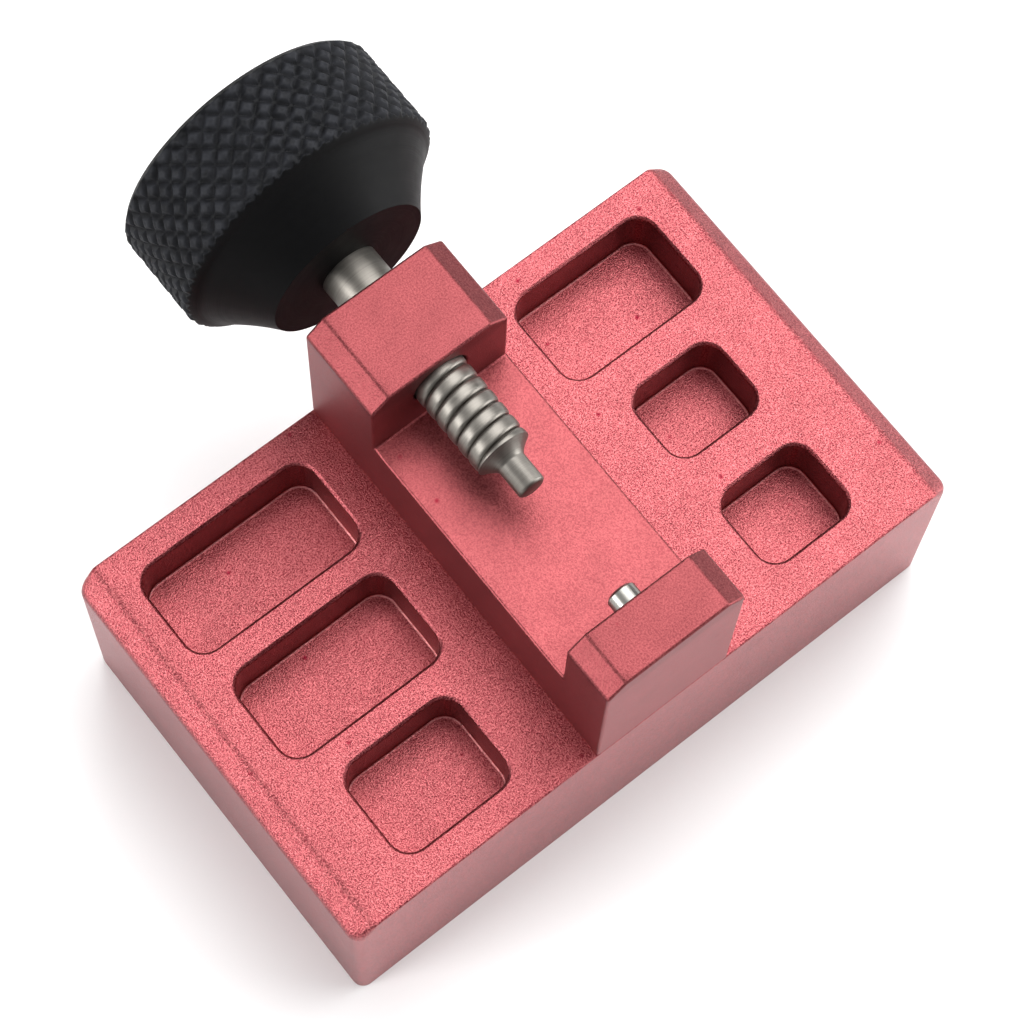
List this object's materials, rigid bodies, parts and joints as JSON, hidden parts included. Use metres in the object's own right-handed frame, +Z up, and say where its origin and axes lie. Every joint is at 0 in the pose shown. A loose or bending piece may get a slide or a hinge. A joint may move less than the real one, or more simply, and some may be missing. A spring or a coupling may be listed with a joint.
{
  "type": "watch movement holder",
  "caption": "Block with shallow parts pockets and a U-shaped bridge whose knurled clamp screw closes towards a fixed pin.",
  "frame": {"origin": "centre of the block's underside", "axes": "+X along the block, +Y towards the knob, +Z up, away from the underside"},
  "size_m": [0.06, 0.0526, 0.045],
  "materials": {
    "red_anodised": "bead-blasted and red anodised",
    "black_anodised": "turned, knurled and black anodised",
    "turned_steel": "turned, satin",
    "ground_steel": "ground",
    "black_oxide_steel": "black oxide"
  },
  "bodies": {
    "fixture": {"base_block": "red_anodised", "clamp_bridge": "red_anodised", "bridge_screw_front": "black_oxide_steel", "bridge_screw_rear": "black_oxide_steel", "bridge_dowel_front": "ground_steel", "bridge_dowel_rear": "ground_steel", "anvil_pin": "ground_steel"},
    "carriage": {"knob_washer": "ground_steel"},
    "clamp_screw": {"spindle": "turned_steel", "knob": "black_anodised", "knob_screw": "black_oxide_steel"}
  },
  "joints": [
    {"name": "screw_advance", "type": "slide", "parent": "fixture", "child": "carriage", "axis": [0, -1, 0], "range_m": [-0.0078, 0.00308]},
    {"name": "knob_turn", "type": "hinge", "parent": "carriage", "child": "clamp_screw", "pos_m": [0, 0.02135, 0.0331], "axis": [0, -1, 0], "range_deg": [-2162, 854]}
  ],
  "couplings": [
    {"joint": "knob_turn", "follows": "screw_advance", "rad_per_m": 4833.2}
  ]
}
